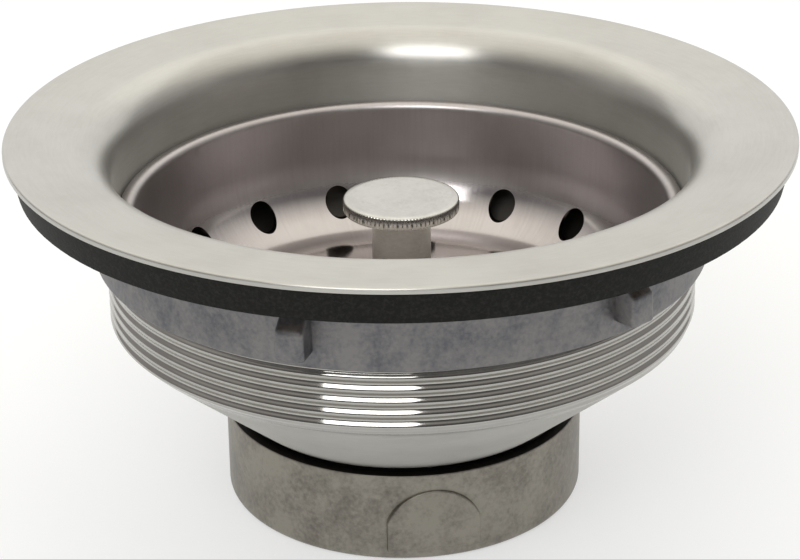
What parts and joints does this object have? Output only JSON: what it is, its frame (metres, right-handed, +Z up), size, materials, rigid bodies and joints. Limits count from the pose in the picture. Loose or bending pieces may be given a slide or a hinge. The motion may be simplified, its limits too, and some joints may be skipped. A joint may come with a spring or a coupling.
{
  "type": "sink strainer",
  "caption": "Flanged kitchen sink drain strainer: threaded bowl with rubber gasket, lugged locknut and outlet coupling nut, and a lift-out perforated basket with a knob and stopper.",
  "frame": {"origin": "on the drain axis at the underside of the flange rim, where it meets the sink deck", "axes": "+Z up the drain axis, out of the sink; +X to the right and +Y away from the viewer in the picture's view"},
  "size_m": [0.1142, 0.1142, 0.0572],
  "materials": {
    "strainer_body": "satin and polished drawn stainless steel",
    "outlet_neck": "machined stainless steel",
    "outlet_cross": "stamped stainless steel",
    "flange_gasket": "matte black moulded rubber",
    "friction_washer": "pressed fibre",
    "locknut": "as-cast zinc alloy, dull grey",
    "tailpiece_washer": "natural polyethylene",
    "coupling_nut": "as-cast zinc alloy, tumbled",
    "basket_cup": "satin drawn stainless steel",
    "basket_post": "turned and plated",
    "basket_knob": "turned, knurled and plated",
    "backing_washer": "stamped steel",
    "stopper_seal": "moulded black rubber",
    "retaining_washer": "stamped steel",
    "retaining_nut": "machined brass"
  },
  "bodies": {
    "bowl": {"strainer_body": "strainer_body", "outlet_neck": "outlet_neck", "outlet_cross": "outlet_cross"},
    "clamp": {"flange_gasket": "flange_gasket", "friction_washer": "friction_washer"},
    "locknut_ring": {"locknut": "locknut"},
    "tail_seal": {"tailpiece_washer": "tailpiece_washer"},
    "slip_nut": {"coupling_nut": "coupling_nut"},
    "basket": {"basket_cup": "basket_cup"},
    "post": {"basket_post": "basket_post", "basket_knob": "basket_knob", "backing_washer": "backing_washer", "stopper_seal": "stopper_seal", "retaining_washer": "retaining_washer", "retaining_nut": "retaining_nut"}
  },
  "joints": [
    {"name": "clamp_travel", "type": "slide", "parent": "bowl", "child": "clamp", "axis": [0, 0, -1], "range_m": [0, 0.01596]},
    {"name": "locknut_turn", "type": "hinge", "parent": "clamp", "child": "locknut_ring", "pos_m": [0, 0, -0.0111], "axis": [0, 0, -1], "range_deg": [0, 3168]},
    {"name": "tail_seal_travel", "type": "slide", "parent": "bowl", "child": "tail_seal", "axis": [0, 0, -1], "range_m": [0, 0.00663]},
    {"name": "coupling_turn", "type": "hinge", "parent": "tail_seal", "child": "slip_nut", "pos_m": [0, 0, -0.049], "axis": [0, 0, -1], "range_deg": [0, 1080]},
    {"name": "basket_lift", "type": "slide", "parent": "bowl", "child": "basket", "axis": [0, 0, 1], "range_m": [0, 0.055]},
    {"name": "post_turn", "type": "hinge", "parent": "basket", "child": "post", "pos_m": [0, 0, -0.0302], "axis": [0, 0, 1], "continuous": true}
  ],
  "couplings": [
    {"joint": "clamp_travel", "follows": "locknut_turn", "m_per_rad": 0.00028871},
    {"joint": "tail_seal_travel", "follows": "coupling_turn", "m_per_rad": 0.00035157}
  ]
}
